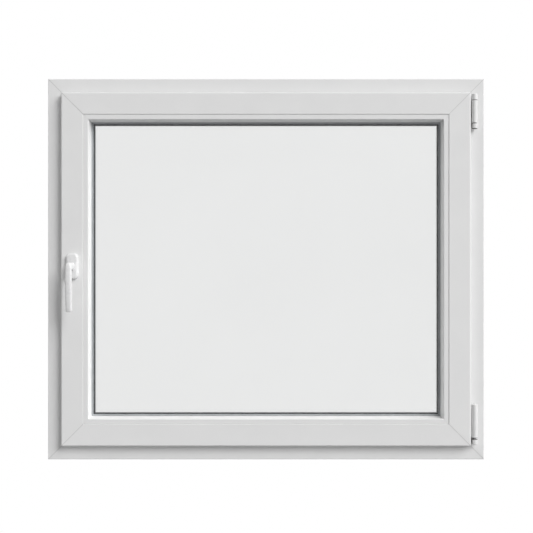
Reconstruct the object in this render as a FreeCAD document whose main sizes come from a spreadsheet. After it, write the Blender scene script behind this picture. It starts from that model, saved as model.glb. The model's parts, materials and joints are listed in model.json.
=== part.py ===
import FreeCAD, Part
import math
import os
import Sketcher

Vector = FreeCAD.Vector
Rotation = FreeCAD.Rotation

# Every size of the window in millimetres, written once.
# X runs to the right seen from the room, Y runs outdoors, Z runs up.
SIZES = {
    # Outer frame
    "frame_width": 1100,
    "frame_height": 960,
    "frame_depth": 70,
    "frame_face": 49,
    "frame_reveal": 37,
    "stop_height": 21,
    "stop_thickness": 15,
    "stop_slope": 4,
    "drain_width": 10,
    "drain_depth": 5,
    "clip_offset": 21,
    "clip_width": 8,
    "clip_undercut": 1.5,
    "clip_depth": 4,
    "fixing_inset": 150,
    "fixing_radius": 5,
    # Sash
    "rebate_gap": 12,
    "seal_gap": 5,
    "seal_setback": 2,
    "seal_strip": 4,
    "flange_thickness": 15,
    "sash_face": 55,
    "gear_inset": 20,
    "gear_plate_width": 16,
    "gear_plate_depth": 3,
    "gear_slot_width": 12,
    "gear_slot_depth": 9,
    "leg_thickness": 11,
    "leg_height": 17.5,
    "leg_slope": 3,
    # Glazing
    "pane_thickness": 4,
    "pane_cavity": 16,
    "pane_clearance": 5,
    "glazing_seal": 4,
    "seal_seat": 4,
    "seal_lip": 4.5,
    "seal_bevel": 2,
    "sealant_height": 7,
    "spacer_height": 10.5,
    # Glazing beads
    "bead_recess": 1.5,
    "bead_flat": 13,
    "bead_back": 17,
    "bead_foot_inset": 10,
    "bead_foot_width": 4,
    "bead_foot_depth": 5,
    "bead_clearance": 0.3,
    # Edges and weld lines
    "flange_round": 3.5,
    "edge_round": 2,
    "fine_round": 1,
    "weld_width": 1.4,
    "weld_depth": 0.6,
    # Hinges
    "hinge_inset": 26,
    "hinge_stand": 10.5,
    "hinge_radius": 7.4,
    "hinge_core": 4.9,
    "hinge_bore": 3.5,
    "hinge_fit": 0.05,
    "hinge_joint": 0.5,
    "hinge_web": 4,
    "hinge_ease": 0.7,
    "hinge_crown": 2,
    "plate_width": 12,
    "plate_thickness": 2.5,
    "top_hinge_drop": 128,
    "top_hinge_knob": 13.5,
    "top_hinge_length": 57,
    "top_hinge_gap": 2,
    "top_hinge_crown": 16,
    "bottom_hinge_foot": 40,
    "bottom_hinge_cup": 13.5,
    "bottom_hinge_gap": 4,
    "bottom_hinge_length": 84,
    "leaf_length": 50,
    "leaf_thickness": 2,
    "leaf_grip": 2,
    "wing_thickness": 4,
    # Handle
    "handle_inset": 66,
    "handle_rise": 7,
    "rosette_width": 30,
    "rosette_length": 65,
    "rosette_thickness": 10,
    "rosette_corner": 11,
    "rosette_bevel": 2.2,
    "rosette_ease": 0.6,
    "neck_radius": 7.4,
    "neck_width": 15,
    "neck_flank": 4,
    "neck_sink": 3,
    "neck_gap": 0.5,
    "neck_fit": 0.05,
    "lever_reach": 45,
    "lever_top": 10,
    "lever_drop": 112,
    "lever_width": 15.5,
    "lever_end_width": 14,
    "lever_thickness": 12,
    "lever_round": 3,
    "lever_end_bevel": 1.5,
    "elbow_round": 8,
    "lever_lean": 2.5,
    # Drainage
    "drain_cap_spread": 300,
    "drain_cap_level": 22,
    "drain_cap_length": 34,
    "drain_cap_height": 13,
    "drain_cap_depth": 4,
}

doc = FreeCAD.newDocument("tilt_and_turn_window")
sheet = doc.addObject("Spreadsheet::Sheet", "Sizes")
for row, (alias, number) in enumerate(SIZES.items(), start=1):
    sheet.set(f"A{row}", alias)
    sheet.set(f"B{row}", str(number))
    sheet.setAlias(f"B{row}", alias)
doc.recompute()

# Planes across the depth of the window, from the room to outdoors.
ROOM_FACE = "(-Sizes.frame_depth / 2)"
OUT_FACE = "(Sizes.frame_depth / 2)"
STOP_FACE = f"({OUT_FACE} - Sizes.stop_thickness)"
FLANGE_BACK = f"({ROOM_FACE} - Sizes.seal_gap)"
SASH_FRONT = f"({FLANGE_BACK} - Sizes.flange_thickness)"
SASH_OUT = f"({STOP_FACE} - Sizes.seal_gap)"
LEG_INNER = f"({SASH_OUT} - Sizes.leg_thickness)"
OUTER_PANE_OUT = f"({LEG_INNER} - Sizes.glazing_seal)"
OUTER_PANE_IN = f"({OUTER_PANE_OUT} - Sizes.pane_thickness)"
INNER_PANE_OUT = f"({OUTER_PANE_IN} - Sizes.pane_cavity)"
INNER_PANE_IN = f"({INNER_PANE_OUT} - Sizes.pane_thickness)"
BEAD_BACK = f"({INNER_PANE_IN} - Sizes.glazing_seal)"
BEAD_FRONT = f"({SASH_FRONT} + Sizes.bead_recess)"
BEAD_FOOT = f"({BEAD_FRONT} + Sizes.bead_foot_inset)"
GEAR_AXIS = f"({FLANGE_BACK} + Sizes.gear_inset)"

# Heights of the sash section, counted inward from the tip of its flange.
FLANGE_HEIGHT = "(Sizes.frame_face + Sizes.rebate_gap - Sizes.frame_reveal)"
LEG_TOP = "(Sizes.sash_face + Sizes.leg_height)"
BEAD_TOP = "(Sizes.sash_face + Sizes.bead_back)"

# Insets of the glazing, counted inward from the outer edge of the frame.
PANE_EDGE = "(Sizes.frame_reveal + Sizes.sash_face + Sizes.pane_clearance)"
SEALANT_TOP = f"({PANE_EDGE} + Sizes.sealant_height)"
SPACER_TOP = f"({SEALANT_TOP} + Sizes.spacer_height)"
SEAL_SEAT = f"({PANE_EDGE} + Sizes.seal_seat)"
SEAL_TOP = f"(Sizes.frame_reveal + {BEAD_TOP} + Sizes.seal_lip)"

nodes = []


def value(expression):
    """The number an expression gives with the sheet as it stands."""
    return float(sheet.evalExpression(expression))


def new_body(name):
    """A body that becomes one named piece of the window."""
    body = doc.addObject("PartDesign::Body", name)
    body.Label = name
    return body


def new_sketch(body, name, role, offset="0"):
    """A sketch on one of the body's own planes, moved along the plane's normal."""
    sketch = body.newObject("Sketcher::SketchObject", name)
    plane = next(item for item in body.Origin.OriginFeatures if item.Role == role)
    sketch.AttachmentSupport = [(plane, "")]
    sketch.MapMode = "FlatFace"
    sketch.setExpression(".AttachmentOffset.Base.z", offset)
    return sketch


def hold_point(sketch, geometry, point, across, along):
    """Fixes a point of the sketch at the place that the sheet gives."""
    for kind, expression in (("DistanceX", across), ("DistanceY", along)):
        distance = Sketcher.Constraint(kind, -1, 1, geometry, point, value(expression))
        index = sketch.addConstraint(distance)
        sketch.setExpression(f"Constraints[{index}]", expression)


def draw_outline(sketch, corners):
    """A closed outline whose corners are held by distances that the sheet gives."""
    first = sketch.GeometryCount
    count = len(corners)
    spots = [Vector(value(across), value(along), 0) for across, along in corners]
    for step in range(count):
        sketch.addGeometry(Part.LineSegment(spots[step], spots[(step + 1) % count]), False)
    for step in range(count):
        following = first + (step + 1) % count
        sketch.addConstraint(Sketcher.Constraint("Coincident", first + step, 2, following, 1))
    for step, (across, along) in enumerate(corners):
        hold_point(sketch, first + step, 1, across, along)


def draw_circle(sketch, across, along, radius):
    """A circle whose centre and radius come from the sheet."""
    centre = Vector(value(across), value(along), 0)
    circle = sketch.addGeometry(Part.Circle(centre, Vector(0, 0, 1), value(radius)), False)
    hold_point(sketch, circle, 3, across, along)
    index = sketch.addConstraint(Sketcher.Constraint("Radius", circle, value(radius)))
    sketch.setExpression(f"Constraints[{index}]", radius)


def draw_oblong(sketch, half_width, half_flank):
    """Two upright flanks joined by half circles, about the sketch's origin."""
    wide = value(half_width)
    tall = value(half_flank)
    flanks = []
    for sign in ("", "-"):
        side = -wide if sign else wide
        end = -tall if sign else tall
        flank = sketch.addGeometry(Part.LineSegment(Vector(side, -end, 0), Vector(side, end, 0)), False)
        other = "" if sign else "-"
        hold_point(sketch, flank, 1, f"{sign}({half_width})", f"{other}({half_flank})")
        hold_point(sketch, flank, 2, f"{sign}({half_width})", f"{sign}({half_flank})")
        flanks.append(flank)
    for number, level in enumerate((tall, -tall)):
        circle = Part.Circle(Vector(0, level, 0), Vector(0, 0, 1), wide)
        start = number * math.pi
        arc = sketch.addGeometry(Part.ArcOfCircle(circle, start, start + math.pi), False)
        sketch.addConstraint(Sketcher.Constraint("Coincident", arc, 1, flanks[number], 2))
        sketch.addConstraint(Sketcher.Constraint("Coincident", arc, 2, flanks[1 - number], 1))
        index = sketch.addConstraint(Sketcher.Constraint("DistanceY", -1, 1, arc, 3, level))
        sketch.setExpression(f"Constraints[{index}]", f"{'-' if number else ''}({half_flank})")


def rectangle(left, right, low, high):
    """The four corners of an upright rectangle."""
    return [(left, low), (right, low), (right, high), (left, high)]


def pad(body, name, sketch, length, symmetric=False):
    """The sketch drawn out along its normal."""
    feature = body.newObject("PartDesign::Pad", name)
    feature.Profile = sketch
    feature.SideType = "Symmetric" if symmetric else "One side"
    feature.setExpression("Length", length)
    doc.recompute()
    return feature


def pocket(body, name, sketch, depth=None):
    """The sketch cut into the body: to a depth, or right through both ways."""
    before = body.Shape.Volume
    feature = body.newObject("PartDesign::Pocket", name)
    feature.Profile = sketch
    if depth is None:
        feature.Type = "ThroughAll"
        feature.SideType = "Symmetric"
    else:
        feature.setExpression("Length", depth)
    doc.recompute()
    if body.Shape.Volume >= before:
        raise RuntimeError(f"{body.Label}: {name} cuts nothing")
    return feature


def revolve(body, name, sketch):
    """The sketch turned once about its own upright axis."""
    feature = body.newObject("PartDesign::Revolution", name)
    feature.Profile = sketch
    feature.ReferenceAxis = (sketch, ["V_Axis"])
    feature.Angle = 360
    doc.recompute()
    return feature


def dress(body, kind, name, picked, size):
    """A fillet or chamfer on the edges of the body's last feature that a test picks."""
    base = body.Tip
    numbered = enumerate(base.Shape.Edges, start=1)
    edges = [f"Edge{number}" for number, edge in numbered if picked(edge)]
    if not edges:
        raise RuntimeError(f"{body.Label}: {name} finds no edge")
    feature = body.newObject(f"PartDesign::{kind}", name)
    feature.Base = (base, edges)
    feature.setExpression("Radius" if kind == "Fillet" else "Size", size)
    doc.recompute()
    return feature


def section_corner(across, along):
    """Picks the edge that one corner of a section leaves along the profile."""

    def picked(edge):
        ends = [vertex.Point for vertex in edge.Vertexes]
        return all(abs(end.y - across) < 0.001 and abs(end.z - along) < 0.001 for end in ends)

    return picked


def level_with(edge, axis, place):
    """True for an edge that lies wholly in the plane at this place on the axis."""
    box = edge.BoundBox
    low = getattr(box, f"{axis}Min")
    high = getattr(box, f"{axis}Max")
    return abs(low - place) < 0.001 and abs(high - place) < 0.001


def keep(piece):
    """Notes a finished piece for writing."""
    nodes.append(piece)
    return piece


def weld_cuts(front, back=None):
    """Where the weld lines are cut: the room face, and the outdoor face if there is one."""
    cuts = [(front, "Sizes.weld_depth")]
    if back:
        cuts.append((f"({back} - Sizes.weld_depth)", "2 * Sizes.weld_depth"))
    return cuts


def mitred_member(name, section, rounds, length, inset, side, welds, reach):
    """One length of profile, rounded along its edges and sawn to 45 degrees at both ends.

    It is drawn lying on the sill and then turned to its side of the window."""
    body = new_body(name)
    profile = new_sketch(body, f"{name}_section", "YZ_Plane")
    draw_outline(profile, section)
    pad(body, f"{name}_length", profile, length, symmetric=True)
    for number, (across, along, size) in enumerate(rounds):
        corner = section_corner(value(across), value(along))
        dress(body, "Fillet", f"{name}_round_{number}", corner, size)
    past = "Sizes.frame_reveal"
    end = f"({length}) / 2"
    saw = new_sketch(body, f"{name}_mitres", "XZ_Plane")
    for sign in ("", "-"):
        draw_outline(saw, [
            (f"{sign}({end} + {past})", f"-{past}"),
            (f"{sign}({end} + {past})", f"{reach} + {past}"),
            (f"{sign}({end} - {reach} - {past})", f"{reach} + {past}"),
        ])
    pocket(body, f"{name}_mitre_cuts", saw)
    for number, (plane, depth) in enumerate(welds):
        groove = new_sketch(body, f"{name}_weld_line_{number}", "XZ_Plane", f"-{plane}")
        for sign in ("", "-"):
            draw_outline(groove, [
                (f"{sign}({end} + {past} - Sizes.weld_width)", f"-{past}"),
                (f"{sign}({end} + {past} + Sizes.weld_width)", f"-{past}"),
                (f"{sign}({end} - {reach} - {past} + Sizes.weld_width)", f"{reach} + {past}"),
                (f"{sign}({end} - {reach} - {past} - Sizes.weld_width)", f"{reach} + {past}"),
            ])
        pocket(body, f"{name}_weld_groove_{number}", groove, depth)
    place_member(body, inset, side)
    return keep(body)


def place_member(body, inset, side):
    """Turns a member to its side: its foot lies on the ring's outer edge."""
    turn = {"sill": 0, "lock": 90, "head": 180, "hinge": 270}[side]
    body.Placement = FreeCAD.Placement(Vector(0, 0, 0), Rotation(Vector(0, 1, 0), turn))
    across = {
        "sill": "0",
        "head": "0",
        "lock": f"-Sizes.frame_width / 2 + {inset}",
        "hinge": f"Sizes.frame_width / 2 - {inset}",
    }[side]
    up = {
        "sill": inset,
        "head": f"Sizes.frame_height - {inset}",
        "lock": "Sizes.frame_height / 2",
        "hinge": "Sizes.frame_height / 2",
    }[side]
    body.setExpression(".Placement.Base.x", across)
    body.setExpression(".Placement.Base.z", up)
    doc.recompute()


def ring(name, out_plane, thickness, outer, inner):
    """A closed rectangular band around the window, between two insets."""
    body = new_body(name)
    outline = new_sketch(body, f"{name}_outline", "XZ_Plane", f"-{out_plane}")
    for inset in (outer, inner):
        half = f"(Sizes.frame_width / 2 - {inset})"
        draw_outline(outline, rectangle(f"-{half}", half, inset, f"Sizes.frame_height - {inset}"))
    pad(body, f"{name}_band", outline, thickness)
    return keep(body)


def lip_edges(plane, inset):
    """Picks the four edges of a ring's opening that lie in a plane."""
    half_width = value("Sizes.frame_width / 2") - inset
    centre = value("Sizes.frame_height / 2")
    half_height = centre - inset

    def picked(edge):
        middle = edge.CenterOfMass
        on_side = abs(abs(middle.x) - half_width) < 0.001 and abs(middle.z - centre) < 0.001
        on_end = abs(abs(middle.z - centre) - half_height) < 0.001 and abs(middle.x) < 0.001
        return level_with(edge, "Y", plane) and (on_side or on_end)

    return picked


def pane(name, out_plane):
    """One sheet of glass with arrised edges."""
    body = new_body(name)
    outline = new_sketch(body, f"{name}_outline", "XZ_Plane", f"-{out_plane}")
    half = f"(Sizes.frame_width / 2 - {PANE_EDGE})"
    draw_outline(outline, rectangle(f"-{half}", half, PANE_EDGE, f"Sizes.frame_height - {PANE_EDGE}"))
    pad(body, f"{name}_sheet", outline, "Sizes.pane_thickness")
    return keep(body)


def turned_piece(name, outline):
    """A round hinge piece on the hinge line, its outline given as radius and height."""
    body = new_body(name)
    profile = new_sketch(body, f"{name}_profile", "XZ_Plane")
    draw_outline(profile, outline)
    revolve(body, f"{name}_turning", profile)
    return body


def place_on_hinge_line(body):
    """Moves a hinge piece to the hinge line in front of the frame."""
    body.setExpression(".Placement.Base.x", "Sizes.frame_width / 2 - Sizes.hinge_inset")
    body.setExpression(".Placement.Base.y", f"{ROOM_FACE} - Sizes.hinge_stand")
    doc.recompute()
    return keep(body)


# The outer frame: a stop outdoors, a drain channel beside it and clip grooves on the wall side.
frame_section = [(ROOM_FACE, "0")]
for centre in ("-Sizes.clip_offset", "Sizes.clip_offset"):
    frame_section += [
        (f"{centre} - Sizes.clip_width / 2", "0"),
        (f"{centre} - Sizes.clip_width / 2 - Sizes.clip_undercut", "Sizes.clip_depth"),
        (f"{centre} + Sizes.clip_width / 2 + Sizes.clip_undercut", "Sizes.clip_depth"),
        (f"{centre} + Sizes.clip_width / 2", "0"),
    ]
STOP_TOP = "(Sizes.frame_face + Sizes.stop_height)"
frame_section += [
    (OUT_FACE, "0"),
    (OUT_FACE, f"{STOP_TOP} - Sizes.stop_slope"),
    (STOP_FACE, STOP_TOP),
    (STOP_FACE, "Sizes.frame_face - Sizes.drain_depth"),
    (f"{STOP_FACE} - Sizes.drain_width", "Sizes.frame_face - Sizes.drain_depth"),
    (f"{STOP_FACE} - Sizes.drain_width", "Sizes.frame_face"),
    (ROOM_FACE, "Sizes.frame_face"),
]
frame_rounds = [
    (ROOM_FACE, "0", "Sizes.edge_round"),
    (ROOM_FACE, "Sizes.frame_face", "Sizes.edge_round"),
    (OUT_FACE, "0", "Sizes.edge_round"),
    (OUT_FACE, f"{STOP_TOP} - Sizes.stop_slope", "Sizes.edge_round"),
    (STOP_FACE, STOP_TOP, "Sizes.fine_round"),
]
frame_sides = {"head": "head", "sill": "sill", "lock_jamb": "lock", "hinge_jamb": "hinge"}
for name, side in frame_sides.items():
    length = "Sizes.frame_width" if side in ("head", "sill") else "Sizes.frame_height"
    cuts = weld_cuts(ROOM_FACE, OUT_FACE)
    member = mitred_member(
        f"frame_{name}", frame_section, frame_rounds, length, "0", side, cuts, STOP_TOP
    )
    if side in ("lock", "hinge"):
        holes = new_sketch(member, f"frame_{name}_fixing_centres", "XY_Plane")
        for sign in ("", "-"):
            reach = f"{sign}(Sizes.frame_height / 2 - Sizes.fixing_inset)"
            draw_circle(holes, reach, "0", "Sizes.fixing_radius")
        pocket(member, f"frame_{name}_fixing_holes", holes)

# The sash: a flange over the frame, a stepped groove for the locking gear and a glazing leg outdoors.
sash_section = [
    (SASH_FRONT, "0"),
    (FLANGE_BACK, "0"),
    (FLANGE_BACK, FLANGE_HEIGHT),
    (f"{GEAR_AXIS} - Sizes.gear_plate_width / 2", FLANGE_HEIGHT),
    (f"{GEAR_AXIS} - Sizes.gear_plate_width / 2", f"{FLANGE_HEIGHT} + Sizes.gear_plate_depth"),
    (f"{GEAR_AXIS} - Sizes.gear_slot_width / 2", f"{FLANGE_HEIGHT} + Sizes.gear_plate_depth"),
    (f"{GEAR_AXIS} - Sizes.gear_slot_width / 2", f"{FLANGE_HEIGHT} + Sizes.gear_slot_depth"),
    (f"{GEAR_AXIS} + Sizes.gear_slot_width / 2", f"{FLANGE_HEIGHT} + Sizes.gear_slot_depth"),
    (f"{GEAR_AXIS} + Sizes.gear_slot_width / 2", f"{FLANGE_HEIGHT} + Sizes.gear_plate_depth"),
    (f"{GEAR_AXIS} + Sizes.gear_plate_width / 2", f"{FLANGE_HEIGHT} + Sizes.gear_plate_depth"),
    (f"{GEAR_AXIS} + Sizes.gear_plate_width / 2", FLANGE_HEIGHT),
    (SASH_OUT, FLANGE_HEIGHT),
    (SASH_OUT, f"{LEG_TOP} - Sizes.leg_slope"),
    (LEG_INNER, LEG_TOP),
    (LEG_INNER, "Sizes.sash_face"),
    (f"{BEAD_FOOT} + Sizes.bead_foot_width / 2 + Sizes.bead_clearance", "Sizes.sash_face"),
    (
        f"{BEAD_FOOT} + Sizes.bead_foot_width / 2 + Sizes.bead_clearance",
        "Sizes.sash_face - Sizes.bead_foot_depth - Sizes.bead_clearance",
    ),
    (
        f"{BEAD_FOOT} - Sizes.bead_foot_width / 2 - Sizes.bead_clearance",
        "Sizes.sash_face - Sizes.bead_foot_depth - Sizes.bead_clearance",
    ),
    (f"{BEAD_FOOT} - Sizes.bead_foot_width / 2 - Sizes.bead_clearance", "Sizes.sash_face"),
    (SASH_FRONT, "Sizes.sash_face"),
]
sash_rounds = [
    (SASH_FRONT, "0", "Sizes.flange_round"),
    (FLANGE_BACK, "0", "Sizes.edge_round"),
    (SASH_FRONT, "Sizes.sash_face", "Sizes.fine_round"),
    (SASH_OUT, FLANGE_HEIGHT, "Sizes.fine_round"),
    (SASH_OUT, f"{LEG_TOP} - Sizes.leg_slope", "Sizes.edge_round"),
    (LEG_INNER, LEG_TOP, "Sizes.fine_round"),
]
SASH_WIDTH = "(Sizes.frame_width - 2 * Sizes.frame_reveal)"
SASH_HEIGHT = "(Sizes.frame_height - 2 * Sizes.frame_reveal)"
sash_sides = {"top_rail": "head", "bottom_rail": "sill", "lock_stile": "lock", "hinge_stile": "hinge"}
for name, side in sash_sides.items():
    length = SASH_WIDTH if side in ("head", "sill") else SASH_HEIGHT
    mitred_member(
        f"sash_{name}", sash_section, sash_rounds, length, "Sizes.frame_reveal", side,
        weld_cuts(SASH_FRONT, SASH_OUT), LEG_TOP,
    )

# The glazing beads: a flat front, a slope down to the glass and a foot clipped into the sash.
bead_section = [
    (BEAD_FRONT, "Sizes.sash_face"),
    (f"{BEAD_FOOT} - Sizes.bead_foot_width / 2", "Sizes.sash_face"),
    (f"{BEAD_FOOT} - Sizes.bead_foot_width / 2", "Sizes.sash_face - Sizes.bead_foot_depth"),
    (f"{BEAD_FOOT} + Sizes.bead_foot_width / 2", "Sizes.sash_face - Sizes.bead_foot_depth"),
    (f"{BEAD_FOOT} + Sizes.bead_foot_width / 2", "Sizes.sash_face"),
    (BEAD_BACK, "Sizes.sash_face"),
    (BEAD_BACK, BEAD_TOP),
    (BEAD_FRONT, "Sizes.sash_face + Sizes.bead_flat"),
]
bead_rounds = [
    (BEAD_FRONT, "Sizes.sash_face", "Sizes.fine_round"),
    (BEAD_FRONT, "Sizes.sash_face + Sizes.bead_flat", "Sizes.edge_round"),
    (BEAD_BACK, BEAD_TOP, "Sizes.fine_round"),
]
bead_sides = {"top": "head", "bottom": "sill", "lock_side": "lock", "hinge_side": "hinge"}
for name, side in bead_sides.items():
    length = SASH_WIDTH if side in ("head", "sill") else SASH_HEIGHT
    mitred_member(
        f"bead_{name}", bead_section, bead_rounds, length, "Sizes.frame_reveal", side,
        weld_cuts(BEAD_FRONT), BEAD_TOP,
    )

# The seals: outdoors between stop and sash, and in the room between flange and frame.
STOP_SEAL = f"({STOP_TOP} - Sizes.seal_setback)"
FLANGE_SEAL = "(Sizes.frame_reveal + Sizes.seal_setback)"
ring("frame_seal", STOP_FACE, "Sizes.seal_gap", f"({STOP_SEAL} - Sizes.seal_strip)", STOP_SEAL)
ring("sash_seal", ROOM_FACE, "Sizes.seal_gap", FLANGE_SEAL, f"({FLANGE_SEAL} + Sizes.seal_strip)")

# The sealed double glazing and its two glazing seals.
pane("outer_pane", OUTER_PANE_OUT)
pane("inner_pane", INNER_PANE_OUT)
ring("edge_sealant", OUTER_PANE_IN, "Sizes.pane_cavity", PANE_EDGE, SEALANT_TOP)
ring("spacer_bar", OUTER_PANE_IN, "Sizes.pane_cavity", SEALANT_TOP, SPACER_TOP)
inner_seal = ring("inner_glazing_seal", INNER_PANE_IN, "Sizes.glazing_seal", SEAL_SEAT, SEAL_TOP)
inner_lip = lip_edges(value(BEAD_BACK), value(SEAL_TOP))
dress(inner_seal, "Chamfer", "inner_seal_lip", inner_lip, "Sizes.seal_bevel")
outer_seal = ring("outer_glazing_seal", LEG_INNER, "Sizes.glazing_seal", SEAL_SEAT, SEAL_TOP)
outer_lip = lip_edges(value(LEG_INNER), value(SEAL_TOP))
dress(outer_seal, "Chamfer", "outer_seal_lip", outer_lip, "Sizes.seal_bevel")

# The top hinge, from its foot up: a pin with a knob, a bearing on the frame, its cover and the crown.
TOP_FOOT = "(Sizes.frame_height - Sizes.top_hinge_drop)"
TOP_KNOB = f"({TOP_FOOT} + Sizes.top_hinge_knob)"
TOP_LOW = f"({TOP_KNOB} + Sizes.top_hinge_gap)"
TOP_HIGH = f"({TOP_LOW} + Sizes.top_hinge_length - Sizes.hinge_joint)"
CROWN_LOW = f"({TOP_HIGH} + Sizes.hinge_joint)"
CROWN_HIGH = f"({CROWN_LOW} + Sizes.top_hinge_crown)"
SLEEVE_BORE = "(Sizes.hinge_core + Sizes.hinge_fit)"
PIN_BORE = "(Sizes.hinge_bore + Sizes.hinge_fit)"


def eased_end(level, inward):
    """The eased end of a round piece, from its axis to its side, as two short cones."""
    return [
        ("0", level),
        ("Sizes.hinge_radius - Sizes.hinge_crown", level),
        ("Sizes.hinge_radius - Sizes.hinge_ease", f"{level} {inward} Sizes.hinge_ease"),
        ("Sizes.hinge_radius", f"{level} {inward} Sizes.hinge_crown"),
    ]


def hinge_plate(body, low, high, back, left, right):
    """A web from the hinge line back to a plate that lies on the frame or the flange."""
    plan = new_sketch(body, f"{body.Name}_plan", "XY_Plane", low)
    half = "Sizes.hinge_web / 2"
    draw_outline(plan, rectangle(f"-{half}", half, PIN_BORE, back))
    pad(body, f"{body.Name}_web", plan, f"{high} - {low}")
    plate = new_sketch(body, f"{body.Name}_plate_plan", "XY_Plane", low)
    draw_outline(plate, rectangle(left, right, f"{back} - Sizes.plate_thickness", back))
    pad(body, f"{body.Name}_plate", plate, f"{high} - {low}")


def slot_for_web(body, low, high):
    """Opens the back of a cover so that the web inside it can pass."""
    slot = new_sketch(body, f"{body.Name}_slot_plan", "XY_Plane", high)
    half = "(Sizes.hinge_web / 2 + Sizes.hinge_joint)"
    draw_outline(slot, rectangle(f"-{half}", half, "0", "2 * Sizes.hinge_radius"))
    pocket(body, f"{body.Name}_slot", slot, f"{high} - {low}")


pin = turned_piece("top_hinge_pin", eased_end(TOP_FOOT, "+") + [
    ("Sizes.hinge_radius", TOP_KNOB),
    ("Sizes.hinge_bore", TOP_KNOB),
    ("Sizes.hinge_bore", f"{CROWN_LOW} + Sizes.top_hinge_crown / 2"),
    ("0", f"{CROWN_LOW} + Sizes.top_hinge_crown / 2"),
])
place_on_hinge_line(pin)

bearing = turned_piece("top_hinge_bearing", [
    (PIN_BORE, TOP_LOW),
    ("Sizes.hinge_core", TOP_LOW),
    ("Sizes.hinge_core", TOP_HIGH),
    (PIN_BORE, TOP_HIGH),
])
half_plate = "Sizes.plate_width / 2"
hinge_plate(bearing, TOP_LOW, TOP_HIGH, "Sizes.hinge_stand", f"-{half_plate}", half_plate)
place_on_hinge_line(bearing)

sleeve = turned_piece("top_hinge_sleeve", [
    (SLEEVE_BORE, TOP_LOW),
    ("Sizes.hinge_radius", TOP_LOW),
    ("Sizes.hinge_radius", TOP_HIGH),
    (SLEEVE_BORE, TOP_HIGH),
])
slot_for_web(sleeve, TOP_LOW, TOP_HIGH)
place_on_hinge_line(sleeve)

crown = turned_piece("top_hinge_cap", eased_end(CROWN_HIGH, "-") + [
    ("Sizes.hinge_radius", CROWN_LOW),
    (PIN_BORE, CROWN_LOW),
    (PIN_BORE, f"{CROWN_LOW} + Sizes.top_hinge_crown / 2"),
    ("0", f"{CROWN_LOW} + Sizes.top_hinge_crown / 2"),
])
place_on_hinge_line(crown)

# The bottom hinge: a cup on the frame, a pin standing in it, and a leaf on the sash under a cover
# whose wing closes the gap to the flange.
CUP_HIGH = "(Sizes.bottom_hinge_foot + Sizes.bottom_hinge_cup)"
LEAF_LOW = f"({CUP_HIGH} + Sizes.bottom_hinge_gap)"
LEAF_HIGH = f"({LEAF_LOW} + Sizes.bottom_hinge_length)"
CORE_HIGH = f"({LEAF_HIGH} - Sizes.hinge_crown)"
PIN_LOW = "(Sizes.bottom_hinge_foot + Sizes.bottom_hinge_cup / 2)"
PIN_HIGH = f"({LEAF_LOW} + Sizes.bottom_hinge_length / 2)"

cup = turned_piece("bottom_hinge_bearing", eased_end("Sizes.bottom_hinge_foot", "+") + [
    ("Sizes.hinge_radius", CUP_HIGH),
    (PIN_BORE, CUP_HIGH),
    (PIN_BORE, PIN_LOW),
    ("0", PIN_LOW),
])
CUP_LOW = "(Sizes.bottom_hinge_foot + Sizes.hinge_crown)"
hinge_plate(cup, CUP_LOW, CUP_HIGH, "Sizes.hinge_stand", f"-{half_plate}", half_plate)
place_on_hinge_line(cup)

pivot = turned_piece("bottom_hinge_pin", [
    ("0", PIN_LOW),
    ("Sizes.hinge_bore", PIN_LOW),
    ("Sizes.hinge_bore", PIN_HIGH),
    ("0", PIN_HIGH),
])
place_on_hinge_line(pivot)

leaf = turned_piece("bottom_hinge_leaf", [
    (PIN_BORE, LEAF_LOW),
    ("Sizes.hinge_core", LEAF_LOW),
    ("Sizes.hinge_core", CORE_HIGH),
    ("0", CORE_HIGH),
    ("0", PIN_HIGH),
    (PIN_BORE, PIN_HIGH),
])
LEAF_MID = f"({LEAF_LOW} + Sizes.bottom_hinge_length / 2)"
LEAF_FOOT = f"({LEAF_MID} - Sizes.leaf_length / 2)"
FLANGE_REACH = "(Sizes.frame_reveal - Sizes.hinge_inset + Sizes.leaf_grip)"
FLANGE_LEVEL = "(Sizes.hinge_stand - Sizes.seal_gap)"
web = new_sketch(leaf, "leaf_web_plan", "XY_Plane", LEAF_FOOT)
half_web = "Sizes.hinge_web / 2"
draw_outline(web, rectangle(
    f"-{half_web}", half_web, PIN_BORE, f"{FLANGE_LEVEL} + Sizes.leaf_thickness"
))
pad(leaf, "leaf_web", web, "Sizes.leaf_length")
strap = new_sketch(leaf, "leaf_strap_plan", "XY_Plane", LEAF_FOOT)
draw_outline(strap, rectangle(
    f"-{FLANGE_REACH}", half_web, FLANGE_LEVEL, f"{FLANGE_LEVEL} + Sizes.leaf_thickness"
))
pad(leaf, "leaf_strap", strap, "Sizes.leaf_length")
place_on_hinge_line(leaf)

cover = turned_piece("bottom_hinge_sleeve", eased_end(LEAF_HIGH, "-") + [
    ("Sizes.hinge_radius", LEAF_LOW),
    (SLEEVE_BORE, LEAF_LOW),
    (SLEEVE_BORE, CORE_HIGH),
    ("0", CORE_HIGH),
])
WING_REACH = "(Sizes.frame_reveal - Sizes.hinge_inset - Sizes.hinge_joint)"
WING_FRONT = f"({FLANGE_LEVEL} - Sizes.hinge_joint - Sizes.wing_thickness)"
wing = new_sketch(cover, "cover_wing_plan", "XY_Plane", LEAF_LOW)
draw_outline(wing, rectangle(
    f"-{WING_REACH}", "-(Sizes.hinge_core + Sizes.hinge_radius) / 2",
    WING_FRONT, f"{WING_FRONT} + Sizes.wing_thickness",
))
pad(cover, "cover_wing", wing, f"{CORE_HIGH} - {LEAF_LOW}")
SLOT_HIGH = f"({LEAF_FOOT} + Sizes.leaf_length + Sizes.hinge_joint)"
strap_slot = new_sketch(cover, "cover_slot_plan", "XY_Plane", SLOT_HIGH)
half_slot = "(Sizes.hinge_web / 2 + Sizes.hinge_joint)"
past_cover = "2 * Sizes.hinge_radius"
slot_front = f"{FLANGE_LEVEL} - Sizes.hinge_joint"
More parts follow.
